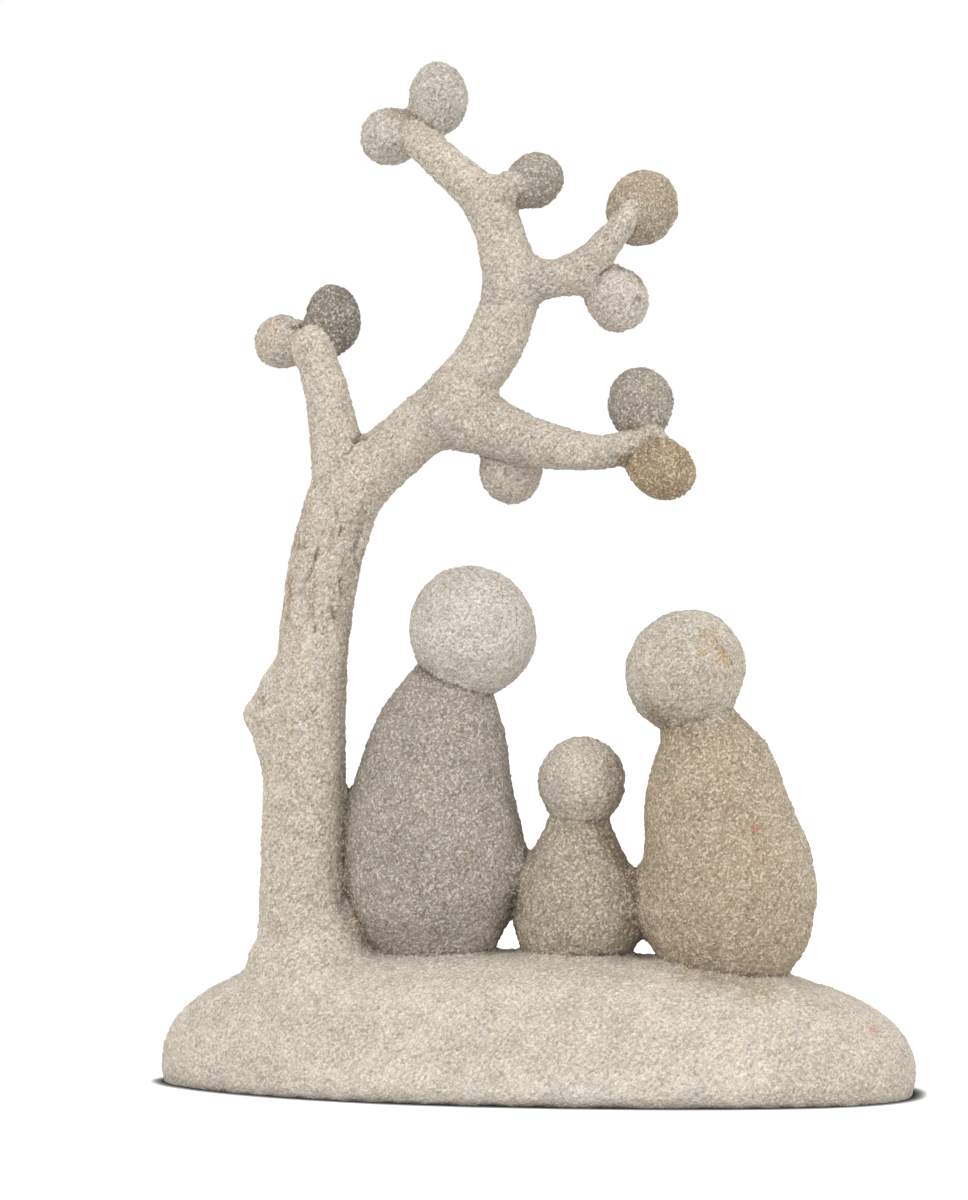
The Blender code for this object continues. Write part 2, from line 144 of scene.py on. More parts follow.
# Figures: where each stands and its height in mm, its outline from the foot up as height, lean to
# the right and half width in shares of its height, its head's height, lean, radius, long radius
# and that axis's tilt in degrees, and its colours
FLATNESS = 0.82
FIGURES = (
    {
        "foot": (-33.5, 4.14, 44.84),
        "height": 129.0,
        "outline": (
            (-0.01, -0.006, 0.146), (0.05, -0.010, 0.186), (0.11, -0.014, 0.216),
            (0.21, -0.008, 0.236), (0.32, -0.006, 0.231), (0.42, -0.010, 0.209),
            (0.53, 0.001, 0.186), (0.62, 0.007, 0.157), (0.68, 0.018, 0.125),
            (0.74, 0.030, 0.085),
        ),
        "head": (0.836, 0.095, 0.164, 0.171, -35.0),
        "body_colour": GREY_BODY,
        "head_colour": GREY_ADULT_HEAD,
    },
    {
        "foot": (14.51, 2.76, 44.93),
        "height": 72.5,
        "outline": (
            (-0.01, 0.000, 0.220), (0.05, 0.000, 0.276), (0.13, 0.000, 0.292),
            (0.25, 0.006, 0.289), (0.36, 0.008, 0.256), (0.47, 0.002, 0.210),
            (0.56, 0.001, 0.164), (0.68, 0.006, 0.112),
        ),
        "head": (0.796, 0.018, 0.204, 0.206, 0.0),
        "body_colour": CHILD_BODY,
        "head_colour": CHILD_HEAD,
    },
    {
        "foot": (65.06, 0.0, 41.82),
        "height": 118.0,
        "outline": (
            (-0.02, 0.008, 0.155), (0.03, 0.004, 0.205), (0.10, -0.002, 0.236),
            (0.21, 0.000, 0.249), (0.33, -0.002, 0.233), (0.46, -0.031, 0.206),
            (0.56, -0.038, 0.179), (0.63, -0.044, 0.149), (0.68, -0.066, 0.124),
            (0.74, -0.092, 0.085),
        ),
        "head": (0.831, -0.122, 0.166, 0.177, 40.0),
        "body_colour": TAN_BODY,
        "head_colour": TAN_ADULT_HEAD,
    },
)

# Tree: its root and height in mm, and its limbs' stations as right, back, up and radius in
# hundredths of its height
TREE_ROOT = (-77.5, 0.0, 45.0)
TREE_HEIGHT = 298.0
LIMBS = {
    "trunk": (
        (0.6, 0.0, -5.0, 7.60), (0.6, 0.0, 0.8, 6.80), (0.1, 0.0, 3.2, 5.45),
        (-0.15, 0.0, 7.9, 5.00), (0.0, 0.0, 22.0, 4.55), (1.0, 0.0, 35.0, 3.95),
        (2.4, 0.0, 44.0, 4.10), (5.0, 0.0, 51.7, 4.10), (9.8, 0.0, 56.0, 3.45),
        (17.4, 0.0, 63.0, 3.22), (21.6, 0.0, 68.4, 3.35), (23.3, 0.0, 75.0, 3.10),
        (21.05, 0.0, 83.2, 2.65), (16.85, 0.3, 87.6, 2.25), (12.1, 0.7, 91.8, 1.90),
    ),
    "left_branch": (
        (4.3, 0.0, 50.0, 3.20), (3.7, -0.3, 55.8, 2.90), (2.7, -0.7, 62.6, 2.50),
        (1.0, -1.3, 67.9, 2.25),
    ),
    "low_branch": (
        (15.2, 0.0, 60.6, 4.00), (20.6, -0.6, 59.25, 3.40), (25.2, -1.3, 57.5, 2.80),
        (28.6, -1.7, 56.7, 2.55), (33.0, -2.0, 56.0, 2.05), (37.0, -2.0, 56.7, 1.70),
        (40.0, -2.0, 57.9, 1.20),
    ),
    "high_branch": (
        (22.4, 0.0, 74.3, 3.90), (26.1, -0.3, 75.3, 2.60), (29.0, -0.7, 75.6, 2.15),
        (32.4, -1.1, 77.4, 1.90), (35.4, -1.3, 80.5, 1.62), (37.0, -1.3, 83.2, 1.05),
    ),
    "side_twig": ((28.0, -0.6, 75.5, 1.95), (31.2, -0.7, 75.2, 1.75), (33.8, -0.7, 74.3, 1.40)),
    "top_stub": ((20.4, 0.0, 83.4, 2.60), (23.0, -0.3, 85.7, 1.90), (24.7, -0.7, 86.2, 1.15)),
}
GRAFTED = ("left_branch",)  # meets the trunk in a sharp fork
SPAN_STEPS = 3

# Pebble leaves: the limb that carries one, the leaf's middle from the limb's tip, its half length
# and half width in the limbs' units, its lean in degrees and its colour
PEBBLES = (
    ("trunk", (2.8, 1.6, 4.1), (4.25, 3.42), -2.0, (200, 194, 182)),
    ("trunk", (-2.7, 1.2, -0.1), (3.45, 3.36), 60.0, (199, 192, 180)),
    ("top_stub", (1.2, 1.9, 0.3), (3.52, 3.12), 60.0, (170, 163, 149)),
    ("high_branch", (0.9, 3.4, 0.2), (4.45, 4.05), 25.0, (177, 162, 139)),
    ("side_twig", (1.5, 1.2, -1.1), (3.85, 3.55), -25.0, (212, 203, 191)),
    ("low_branch", (-2.1, 2.9, 3.6), (4.3, 3.7), 0.0, (170, 161, 148)),
    ("low_branch", (0.5, 0.4, -3.65), (4.05, 3.45), 120.0, (173, 151, 119)),
    ("low_branch", (-16.9, 4.3, -3.7), (3.95, 3.66), 0.0, (208, 197, 183)),
    ("left_branch", (2.1, 2.4, 3.25), (4.05, 3.18), -6.0, (141, 133, 124)),
    ("left_branch", (-3.8, 1.7, 0.75), (3.15, 3.05), 0.0, (197, 188, 175)),
)
PEBBLE_THICKNESS = 0.94

# Marks on the front, in mm across and up. Creases in the bark: points, half width and depth
CREASES = (
    (((-70.9, 179.4), (-72.0, 176.2), (-73.3, 173.1), (-75.3, 168.7)), 0.6, 0.8),
    (((-56.7, 187.7), (-58.6, 182.5), (-59.8, 177.7), (-58.7, 173.1)), 0.6, 0.8),
    (((-63.5, 170.1), (-63.8, 167.5), (-63.5, 164.8)), 0.6, 0.8),
    (((-63.1, 187.1), (-64.0, 184.5)), 0.6, 0.8),
    (((-66.5, 160.0), (-66.0, 156.5)), 0.6, 0.6),
    (((-77.6, 180.9), (-76.4, 180.6)), 0.8, 0.8),
    (((-71.9, 154.4), (-72.0, 152.4)), 0.8, 0.8),
    (((-82.4, 157.5), (-82.6, 156.2)), 0.7, 0.5),
    (((-90.9, 129.8), (-90.7, 128.2)), 0.9, 1.0),
    (((-60.1, 216.0), (-56.0, 217.0)), 0.8, 0.9),
)

# Stains, and painted shade and light along some edges: points, reach in mm, colour and strength
STAINS_AND_PAINTED_SHADING = (
    (((60.1, 151.2), (61.5, 150.0)), 2.2, OCHRE, 0.45),
    (((65.4, 143.1), (64.2, 146.0)), 1.9, OCHRE, 0.65),
    (((56.8, 146.0), (58.5, 147.0)), 1.6, OCHRE, 0.4),
    (((61.1, 138.5), (62.0, 139.5)), 1.7, OCHRE, 0.4),
    (((-84.2, 52.8), (-83.0, 54.0)), 2.4, OCHRE, 0.2),
    (((75.1, 88.9), (75.8, 89.3)), 1.2, RED, 0.9),
    (((66.2, 94.4), (66.3, 94.6)), 0.8, RED, 0.6),
    (((113.8, 23.1), (114.2, 23.2)), 1.0, RED, 0.5),
    (((71.1, 19.1), (72.0, 19.2)), 1.4, OCHRE, 0.35),
    (((35.4, 262.6), (35.5, 262.7)), 0.7, DARK_SPECK, 0.9),
    (((41.0, 126.0), (48.0, 121.6), (56.5, 121.4), (63.0, 124.0)), 4.2, BROWN_SAND_AND_SHADE, 0.55),
    (((27.5, 207.0), (31.5, 210.5), (36.0, 212.5), (41.0, 216.0)), 2.6, BROWN_SAND_AND_SHADE, 0.75),
    (((30.0, 220.6), (36.0, 220.3)), 1.0, BROWN_SAND_AND_SHADE, 0.7),
    (((-95.0, 252.0), (-92.0, 246.0), (-88.0, 254.0)), 3.0, OCHRE, 0.25),
    (((-81.4, 253.6), (-78.6, 254.6)), 0.9, SOIL_AND_SHADE, 0.8),
    (((24.5, 272.6), (31.5, 273.6), (36.5, 268.0)), 0.9, BROWN_SAND_AND_SHADE, 0.6),
    (((51.0, 42.0), (64.0, 39.5), (80.0, 36.0)), 3.2, TAN_SAND, 0.45),
    # painted light: the tan adult's right flank made paler
    (((80.0, 118.0), (89.0, 96.0), (93.0, 74.0)), 6.0, PALE_BASE, 0.35),
    # painted shade on the child's head's right side
    (((27.5, 109.0), (29.5, 102.0), (27.0, 94.5)), 4.0, BROWN_SAND_AND_SHADE, 0.5),
    (((-37.0, 139.5), (-34.0, 137.5)), 2.2, SOIL_AND_SHADE, 0.5),
    # painted shade in the crease between the trunk and the grey adult
    (((-63.5, 88.0), (-62.0, 68.5), (-59.0, 57.0), (-56.0, 48.5)), 1.8, CREASE_SHADE, 0.6),
    (((57.0, 122.5), (64.0, 126.5)), 2.6, PALE_DUST_AND_LIGHT, 0.4),
    (((-47.0, 326.5), (-42.0, 323.0)), 2.5, BROWN_SAND_AND_SHADE, 0.5),
    # painted shade along the trunk's right edge
    (((-56.0, 196.0), (-60.5, 180.0), (-62.0, 160.0), (-64.5, 130.0), (-64.5, 62.0)), 1.4, SOIL_AND_SHADE, 0.25),
    # painted shade along the grey adult's right edge
    (((-8.5, 118.0), (-6.0, 104.0), (-4.6, 86.0), (-5.0, 70.0), (-10.0, 53.0)), 2.4, SOIL_AND_SHADE, 0.35),
    # painted light: a pale band low along the base's front
    (((-75.0, 9.0), (0.0, 7.0), (75.0, 9.0)), 9.0, PALE_DUST_AND_LIGHT, 0.55),
    # painted shade down the child's right side
    (((21.0, 89.0), (27.0, 80.0), (32.5, 73.0), (33.5, 64.0), (33.5, 54.0)), 2.8, BROWN_SAND_AND_SHADE, 0.7),
    # painted shadow line where the child meets the tan adult
    (((33.8, 74.0), (35.0, 66.0), (35.6, 58.0), (36.5, 51.0)), 1.3, SOIL_AND_SHADE, 0.8),
    (((-42.0, 88.0), (-40.0, 82.0)), 9.0, GREY_SHADE, 0.28),
    (((-30.0, 62.0), (-26.0, 62.0)), 9.0, GREY_SHADE, 0.12),
    (((-20.0, 50.0), (-10.0, 51.0)), 4.5, PALE_BASE, 0.35),
)

# Brown streaks on the bark: the height in mm where they are densest, how far up and down they
# reach, their width, how much longer than wide they are, and strength
STREAKS = (174.0, 28.0, 1.4, 6.0, 0.7)
STREAK_RISE = 0.1  # added to the noise, so that streaks cover a little more than half of it

# Where the skin is parted: the height over the base where trunk and figures begin, and for each
# upright plane its place across and the height that it reaches up to, in mm
STAND = 46.0
SIDES = {"trunk": (-61.5, 112.0), "child_left": (-3.5, 100.0), "child_right": (35.6, 100.0)}

# Camera, at the photo's viewing angle
CAMERA_PLACE = (0.17838, -1.38869, 0.197)
CAMERA_TURN = (88.61, 0.0, 8.0)
LENS = 126.0

# Studio
ROOM = 9.0
FLOOR_WHITE = 0.82
FLOOR_DROP = 0.02 * MM  # keeps the floor clear of the foot
CONTACT_REACH = 5.0 * MM  # how far the painted contact shadow on the floor reaches
CONTACT_LIGHTS = ((0.4, 0.02), (0.6, 0.1), (0.8, 0.3), (0.93, 0.62), (1.0, 1.0))  # openness, light
LIGHT_FROM = Vector((-0.08, -0.64, 0.76)).normalized()
LIGHT_LEVELS = (0.05, 1.75)  # the light from the far side and from this direction
LAMPS = (("key", (-0.9, -1.1, 1.3), 0.5, 9.0), ("fill", (1.6, -0.5, 0.7), 0.7, 9.0))
LAMP_AIM = Vector((0.0, 0.0, 0.15))


def linear(colour):
    """An sRGB colour of 0 to 255 as linear light."""
    share = np.array(colour, float) / 255
    return np.where(share <= 0.04045, share / 12.92, ((share + 0.055) / 1.055) ** 2.4)


def select_only(obj):
    bpy.ops.object.select_all(action="DESELECT")
    obj.select_set(True)
    bpy.context.view_layer.objects.active = obj


def apply_modifier(obj, name, kind, **values):
    """Adds a modifier with these values and applies it."""
    select_only(obj)
    modifier = obj.modifiers.new(name, kind)
    for key, value in values.items():
        setattr(modifier, key, value)
    bpy.ops.object.modifier_apply(modifier=name)


def coordinates(mesh):
    values = np.empty(3 * len(mesh.vertices), np.float32)
    mesh.vertices.foreach_get("co", values)
    return values.reshape(-1, 3).astype(float)


def place_vertices(mesh, points):
    mesh.vertices.foreach_set("co", points.ravel())
    mesh.update()


def normals_of(mesh):
    values = np.empty(3 * len(mesh.vertices), np.float32)
    mesh.vertex_normals.foreach_get("vector", values)
    return values.reshape(-1, 3).astype(float)


def smoothed(mesh, values, passes):
    """Values of the vertices, each pass averaged halfway with their neighbours."""
    ends = np.empty(2 * len(mesh.edges), np.int32)
    mesh.edges.foreach_get("vertices", ends)
    first, second = ends.reshape(-1, 2).T
    count = np.bincount(ends, minlength=len(values))
    values = np.array(values, float)
    for _ in range(passes):
        for column in values.T if values.ndim > 1 else (values,):
            total = np.bincount(first, column[second], len(column))
            total += np.bincount(second, column[first], len(column))
            column += 0.5 * (total / count - column)
    return values


def soft_noise(points, size, seed):
    """Smooth values from -1 to 1, always the same at the same place, for points in mm."""
    count = 64
    lattice = np.random.default_rng(seed).uniform(-1, 1, (count, count, count))
    corner = np.floor(points / size).astype(int)
    share = points / size - corner
    share = share * share * (3 - 2 * share)
    total = np.zeros(len(points))
    for step in np.ndindex(2, 2, 2):
        weight = np.where(step, share, 1 - share).prod(axis=1)
        total += weight * lattice[tuple(((corner + step) % count).T)]
    return total


def between(left, right, direction):
    """A value that changes from the base's left end, direction -1, to its right end, 1."""
    return left + (right - left) * (direction + 1) / 2


def base_gap(points):
    """How high points lie over the base's upper surface, in mm."""
    u = 2 * points[:, 0] / BASE_LENGTH
    v = 2 * points[:, 1] / BASE_DEPTH
    direction = u / np.maximum(np.hypot(u, v), 1e-6)
    plan = between(LEFT_PLAN, RIGHT_PLAN, direction)
    reach = between(LEFT_REACH, RIGHT_REACH, direction)
    fall = between(LEFT_FALL, RIGHT_FALL, direction)
    outward = (abs(u) ** plan + abs(v) ** plan) ** (1 / plan)
    rise = np.maximum(0.0, 1.0 - outward**reach) ** (1 / fall)
    top = BELLY_HEIGHT + (BASE_HEIGHT - BELLY_HEIGHT) * rise
    return np.where(points[:, 2] < TOP_ZONE, 0.0, np.maximum(points[:, 2] - top, 0.0))


def through(stations):
    """Rows on a smooth curve through the stations, its two ends included."""
    rows = np.array(stations, float)
    ends = np.vstack([2 * rows[0] - rows[1], rows, 2 * rows[-1] - rows[-2]])
    t = np.linspace(0.0, 1.0, SPAN_STEPS, endpoint=False)[:, None]
    spans = []
    for a, b, c, d in zip(ends, ends[1:], ends[2:], ends[3:]):
        bend = (2 * a - 5 * b + 4 * c - d) * t**2 + (3 * b - a - 3 * c + d) * t**3
        spans.append(0.5 * (2 * b + (c - a) * t + bend))
    return np.vstack([*spans, rows[-1]])


def limb_gap(points, stations):
    """Distance of points from a limb's surface, in mm."""
    rows = through(stations) * TREE_HEIGHT / 100
    rows[:, :3] += TREE_ROOT
    nearest = np.full(len(points), 1e3)
    for start, end in zip(rows, rows[1:]):
        span = end[:3] - start[:3]
        share = np.clip((points - start[:3]) @ span / (span @ span), 0, 1)
        gap = np.linalg.norm(points - start[:3] - share[:, None] * span, axis=1)
        nearest = np.minimum(nearest, gap - start[3] - share * (end[3] - start[3]))
    return nearest


def stone_gap(points, middle, half_sizes, lean):
    """Distance of points from a rounded stone's surface, in mm."""
    turn = math.radians(lean)
    offset = points - np.array(middle)
    along = offset[:, 0] * math.sin(turn) + offset[:, 2] * math.cos(turn)
    across = offset[:, 0] * math.cos(turn) - offset[:, 2] * math.sin(turn)
    width, depth, length = half_sizes
    reach = np.sqrt((across / width) ** 2 + (offset[:, 1] / depth) ** 2 + (along / length) ** 2)
    return (reach - 1) * width


def pebble_gap(points, carrier, offset, half_sizes, lean):
    unit = TREE_HEIGHT / 100
    middle = np.array(TREE_ROOT) + (np.array(LIMBS[carrier][-1][:3]) + offset) * unit
    length, width = (size * unit for size in half_sizes)
    return stone_gap(points, middle, (width, width * PEBBLE_THICKNESS, length), lean)


def head_gap(points, figure):
    up, lean, radius, long_radius = (share * figure["height"] for share in figure["head"][:4])
    middle = np.array(figure["foot"]) + (lean, 0.0, up)
    return stone_gap(points, middle, (radius, radius, long_radius), figure["head"][4])


def body_gap(points, figure):
    """Distance of points from a figure's body, in mm."""
    height, lean, half_width = (through(figure["outline"]) * figure["height"]).T
    offset = points - figure["foot"]
    up = offset[:, 2]
    across = offset[:, 0] - np.interp(up, height, lean)
    gap = np.hypot(across, offset[:, 1] / FLATNESS) - np.interp(up, height, half_width)
    outside = np.maximum(0, np.maximum(height[0] - up, up - height[-1]))
    return np.hypot(np.maximum(gap, 0), outside) + np.minimum(gap, 0)


def survey(points):
    """For points in mm: their colour, and how near each lies to a line between two stones."""
    grown = [(base_gap(points), PALE_BASE)]
    stones = []
    for name, stations in LIMBS.items():
        colour = TRUNK if name in ("trunk", *GRAFTED) else BRANCH
        (stones if name in GRAFTED else grown).append((limb_gap(points, stations), colour))
    for *pebble, colour in PEBBLES:
        stones.append((pebble_gap(points, *pebble), colour))
    for figure in FIGURES:
        stones.append((head_gap(points, figure), figure["head_colour"]))
        stones.append((body_gap(points, figure), figure["body_colour"]))
    apart = np.array([np.min([gap for gap, _ in grown], axis=0), *(gap for gap, _ in stones)])
    nearest, second = np.partition(apart, 1, axis=0)[:2]
    seam = np.exp(-(((second - nearest) / SEAM_WIDTH) ** 2))
    gaps = np.array([gap for gap, _ in grown + stones])
    for seed, (size, reach) in enumerate(TINT_FRAYING, 1):
        gaps += reach * soft_noise(points, size, seed)
    weight = np.exp(-(gaps - gaps.min(axis=0)) / TINT_MEETING)
    weight /= weight.sum(axis=0)
    colours = np.array([linear(colour) for _, colour in grown + stones])
    return weight.T @ colours, seam


def path_gap(points, path):
    """Distance from a path in the front view, in mm."""
    flat = points[:, [0, 2]]
    nearest = np.full(len(points), 1e3)
    for start, end in zip(np.array(path), np.array(path)[1:]):
        span = end - start
        share = np.clip((flat - start) @ span / (span @ span), 0, 1)
        gap = np.linalg.norm(flat - start - share[:, None] * span, axis=1)
        nearest = np.minimum(nearest, gap)
    return nearest


def on_path(points, normals, path, reach):
    """1 on a path on the front, fading to 0 beyond its reach."""
    size, strength = RAGGED_PATH
    ragged = 1 + strength * soft_noise(points, size, 5)
    gap = path_gap(points, path) * ragged / reach
    return np.exp(-gap * gap) * np.clip(-FRONT_FADE * normals[:, 1], 0, 1)


def hollows(mesh, points, normals, passes):
    """How deep each point lies below its surroundings, in mm."""
    return ((smoothed(mesh, points, passes) - points) * normals).sum(axis=1) / MM


def copied_casting():
    """A copy of the casting's solid, merged into one skin and run on below the ground."""
    mesh = frame["nodes"][NODE].data.copy()
    mesh.materials.clear()
    obj = bpy.data.objects.new("stone", mesh)
    bpy.context.collection.objects.link(obj)
    select_only(obj)
    bpy.ops.object.mode_set(mode="EDIT")
    bpy.ops.mesh.select_all(action="SELECT")
    bpy.ops.mesh.remove_doubles(threshold=1e-6)
    bpy.ops.object.mode_set(mode="OBJECT")
    points = coordinates(mesh)
    points[points[:, 2] < 1e-6, 2] = -BELOW_GROUND
    place_vertices(mesh, points)
    return obj


def carve(mesh, seam):
    """Cuts the bark's creases and the lines where stones meet."""
    points = coordinates(mesh)
    normals = normals_of(mesh)
    hollow = hollows(mesh, points, normals, HOLLOW_PASSES)
    hollow = np.clip(smoothed(mesh, hollow, HOLLOW_SOFTENING), 0, None)
    depth = HOLLOW_CUT * np.clip(hollow - HOLLOW_START, 0, 1)
    depth += SEAM_CUT * seam * np.clip(FLAT_CUT + SEAM_GAIN * hollow, 0, 1)
    for path, half_width, cut in CREASES:
        depth += cut * on_path(points / MM, normals, path, half_width)
    place_vertices(mesh, points - normals * (depth * MM)[:, None])
    return hollow


def calm_foot(mesh, plain):
    """Fades the relief on a plain skin towards the foot, whose edge is a clean line."""
    height, least = FOOT_CALM
    share = np.clip(plain[:, 2] / height, least, 1)
    place_vertices(mesh, plain + (coordinates(mesh) - plain) * share[:, None])


def keep_in_box(mesh):
    """Keeps the skin within the casting's own box, but for what is cut off below."""
    low, high = (np.array(corner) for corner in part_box(NODE))
    low[2] = -BELOW_GROUND
    place_vertices(mesh, np.clip(coordinates(mesh), low, high))


def paint(mesh, tint, seam, hollow):
    """Lays streaks, soil, stains and painted shade and light over the stones' tints, and darkens the
    lower grains and lightens the higher ones as painted shade and light.
    """
    points = coordinates(mesh)
    normals = normals_of(mesh)
    places = points / MM
    patchy = 1
    for seed, (size, strength) in enumerate(PATCHES, 3):
        patchy = patchy + strength * soft_noise(places, size, seed)
    height, spread, width, stretch, strength = STREAKS
    streaks = soft_noise(places * (1, 1, 1 / stretch), width, 6) + STREAK_RISE
    streaks = np.clip(streaks, 0, 1) * strength
    streaks *= np.exp(-(((places[:, 2] - height) / spread) ** 2))
    streaks *= limb_gap(places, LIMBS["trunk"]) < 1
    tint += (linear(BARK_BROWN) - tint) * streaks[:, None]
    # soil and painted shade, deeper in hollows and along the lines where stones meet
    start, rate, limit = HOLLOW_SOIL_AND_SHADE
    soil_and_shade = np.clip((hollow - start) * rate, 0, limit)
    soil_and_shade += SEAM_SOIL_AND_SHADE * seam * np.clip(FLAT_SOIL_AND_SHADE + SEAM_GAIN * hollow, 0, 1)
    for path, half_width, _ in CREASES:
        soil_and_shade += CREASE_SOIL * on_path(places, normals, path, half_width)
    soil_and_shade = np.clip(soil_and_shade * patchy, 0, MOST_SOIL_AND_SHADE)[:, None]
    tint += (linear(SOIL_AND_SHADE) - tint) * soil_and_shade
    for path, reach, colour, strength in STAINS_AND_PAINTED_SHADING:
        share = np.clip(strength * on_path(places, normals, path, reach) * patchy, 0, 1)
        tint += (linear(colour) - tint) * share[:, None]
    # painted shade and light: lower grains darkened, higher grains lightened
    relief = hollows(mesh, points, normals, 2)
    tint *= np.clip(1 - GRAIN_SHADE * relief, *SHADE_LIMITS)[:, None]
    layer = mesh.color_attributes.new("tint", "FLOAT_COLOR", "POINT")
    rgba = np.ones((len(points), 4), np.float32)
    rgba[:, :3] = tint * EXPOSURE
    rgba[:, 3] = np.interp(places[:, 2], *BASE_GRAIN)
    layer.data.foreach_set("color", rgba.ravel())


def stone_skin():
    """The casting with the rough, painted skin of crushed stone."""
    obj = copied_casting()
    apply_modifier(obj, "round", "SUBSURF", levels=2, render_levels=2)
    apply_modifier(obj, "skin", "REMESH", mode="VOXEL", voxel_size=GRAIN_MESH)
    apply_modifier(obj, "smooth", "SMOOTH", factor=0.5, iterations=SMOOTHING)
    tint, seam = survey(coordinates(obj.data) / MM)
    hollow = carve(obj.data, seam)
    plain = coordinates(obj.data)
    for name, (size, height) in RELIEF.items():
        texture = bpy.data.textures.new(name, "CLOUDS")
        texture.noise_scale = size
        texture.noise_depth = 1
        apply_modifier(obj, name, "DISPLACE", texture=texture, strength=height, mid_level=0.5)
    calm_foot(obj.data, plain)
    keep_in_box(obj.data)
    paint(obj.data, tint, seam, hollow)
    obj.data.shade_smooth()
    return obj


def cut_off(obj, place, outward, below):
    """Cuts off what lies beyond a plane, of all that is below a height, and closes the cut."""
    select_only(obj)
    mesh = obj.data
    chosen = coordinates(mesh)[:, 2] < below * MM
    bpy.ops.object.mode_set(mode="EDIT")
    bpy.ops.mesh.select_mode(type="VERT")
    bpy.ops.mesh.select_all(action="DESELECT")
    bpy.ops.object.mode_set(mode="OBJECT")
    mesh.vertices.foreach_set("select", chosen)
    bpy.ops.object.mode_set(mode="EDIT")
    plane = {"plane_co": [value * MM for value in place], "plane_no": outward, "threshold": 1e-6}
    bpy.ops.mesh.bisect(use_fill=True, clear_outer=True, **plane)
    bpy.ops.mesh.mark_sharp()
    bpy.ops.object.mode_set(mode="OBJECT")


def keep_body_at(obj, place):
    """Keeps the one body whose skin passes nearest to a point."""
    select_only(obj)
    mesh = obj.data
    nearest = np.linalg.norm(coordinates(mesh) - np.array(place) * MM, axis=1).argmin()
    bpy.ops.object.mode_set(mode="EDIT")
    bpy.ops.mesh.select_all(action="DESELECT")
    bpy.ops.object.mode_set(mode="OBJECT")
    mesh.vertices[nearest].select = True
    bpy.ops.object.mode_set(mode="EDIT")
    bpy.ops.mesh.select_linked()
    bpy.ops.mesh.select_all(action="INVERT")
    bpy.ops.mesh.delete(type="VERT")
    bpy.ops.object.mode_set(mode="OBJECT")


def part_of(skin, name, seed, *cuts):
    """The body of a skin at the seed point, once the cuts are made."""
    obj = bpy.data.objects.new(name, skin.data.copy())
    bpy.context.collection.objects.link(obj)
    for cut in cuts:
        cut_off(obj, *cut)
    keep_body_at(obj, seed)
    return obj


def beside(side, direction):
    """The cut that takes off what lies on one side of an upright plane."""
    across, below = SIDES[side]
    return (across, 0.0, 0.0), (direction, 0.0, 0.0), below


def parts_of(skin):
    """The skin's five parts, each a closed body that meets its neighbours face to face."""
    top = 2 * TREE_HEIGHT
    ground = ((0.0, 0.0, 0.0), (0.0, 0.0, -1.0), top)
    crown, grey_crown = (-42.0, 0.0, 318.0), (-22.0, 0.0, 174.0)
    base = part_of(
        skin, "base", (0.0, -40.0, 25.0), ((0.0, 0.0, STAND), (0.0, 0.0, 1.0), top), ground
    )
    upper = part_of(skin, "upper", crown, ((0.0, 0.0, STAND), (0.0, 0.0, -1.0), top))
    tree = part_of(upper, "tree", crown, beside("trunk", 1.0))
    figures = part_of(upper, "figures", grey_crown, beside("trunk", -1.0))
    grey_adult = part_of(figures, "grey_adult", grey_crown, beside("child_left", 1.0))
    child = part_of(
        figures,
        "child",
        (15.8, 0.0, 117.5),
        beside("child_left", -1.0),
        beside("child_right", 1.0),
    )
    tan_adult = part_of(figures, "tan_adult", (51.0, 0.0, 160.0), beside("child_right", -1.0))
    for spare in (skin, upper, figures):
        bpy.data.objects.remove(spare)
    return base, tree, grey_adult, child, tan_adult


def new_node(tree, kind, inputs=(), **values):
    """A shader node with its values and inputs, an input being a number, a colour or a socket."""
    node = tree.nodes.new(kind)
    for key, value in values.items():
        setattr(node, key, value)
    for name, value in dict(inputs).items():
        if isinstance(value, bpy.types.NodeSocket):
            tree.links.new(value, node.inputs[name])
        else:
            node.inputs[name].default_value = value
    return node


def ramp(tree, value, stops):
    """A ramp of (position, colour) stops, a colour being a grey level or red, green and blue."""
    node = new_node(tree, "ShaderNodeValToRGB", {"Fac": value})
    elements = node.color_ramp.elements
    while len(elements) < len(stops):
        elements.new(0.5)
    for element, (position, colour) in zip(elements, stops):
        element.position = position
        element.color = (*np.broadcast_to(colour, 3), 1.0)
    return node.outputs["Color"]


def mixed(tree, first, second, share=1.0, blend="MULTIPLY"):
    """Two colours mixed, each a colour or a socket, by a share or a socket."""
    inputs = {"Factor": share, 6: first, 7: second}
    node = new_node(tree, "ShaderNodeMix", inputs, data_type="RGBA", blend_type=blend)
    return node.outputs[2]


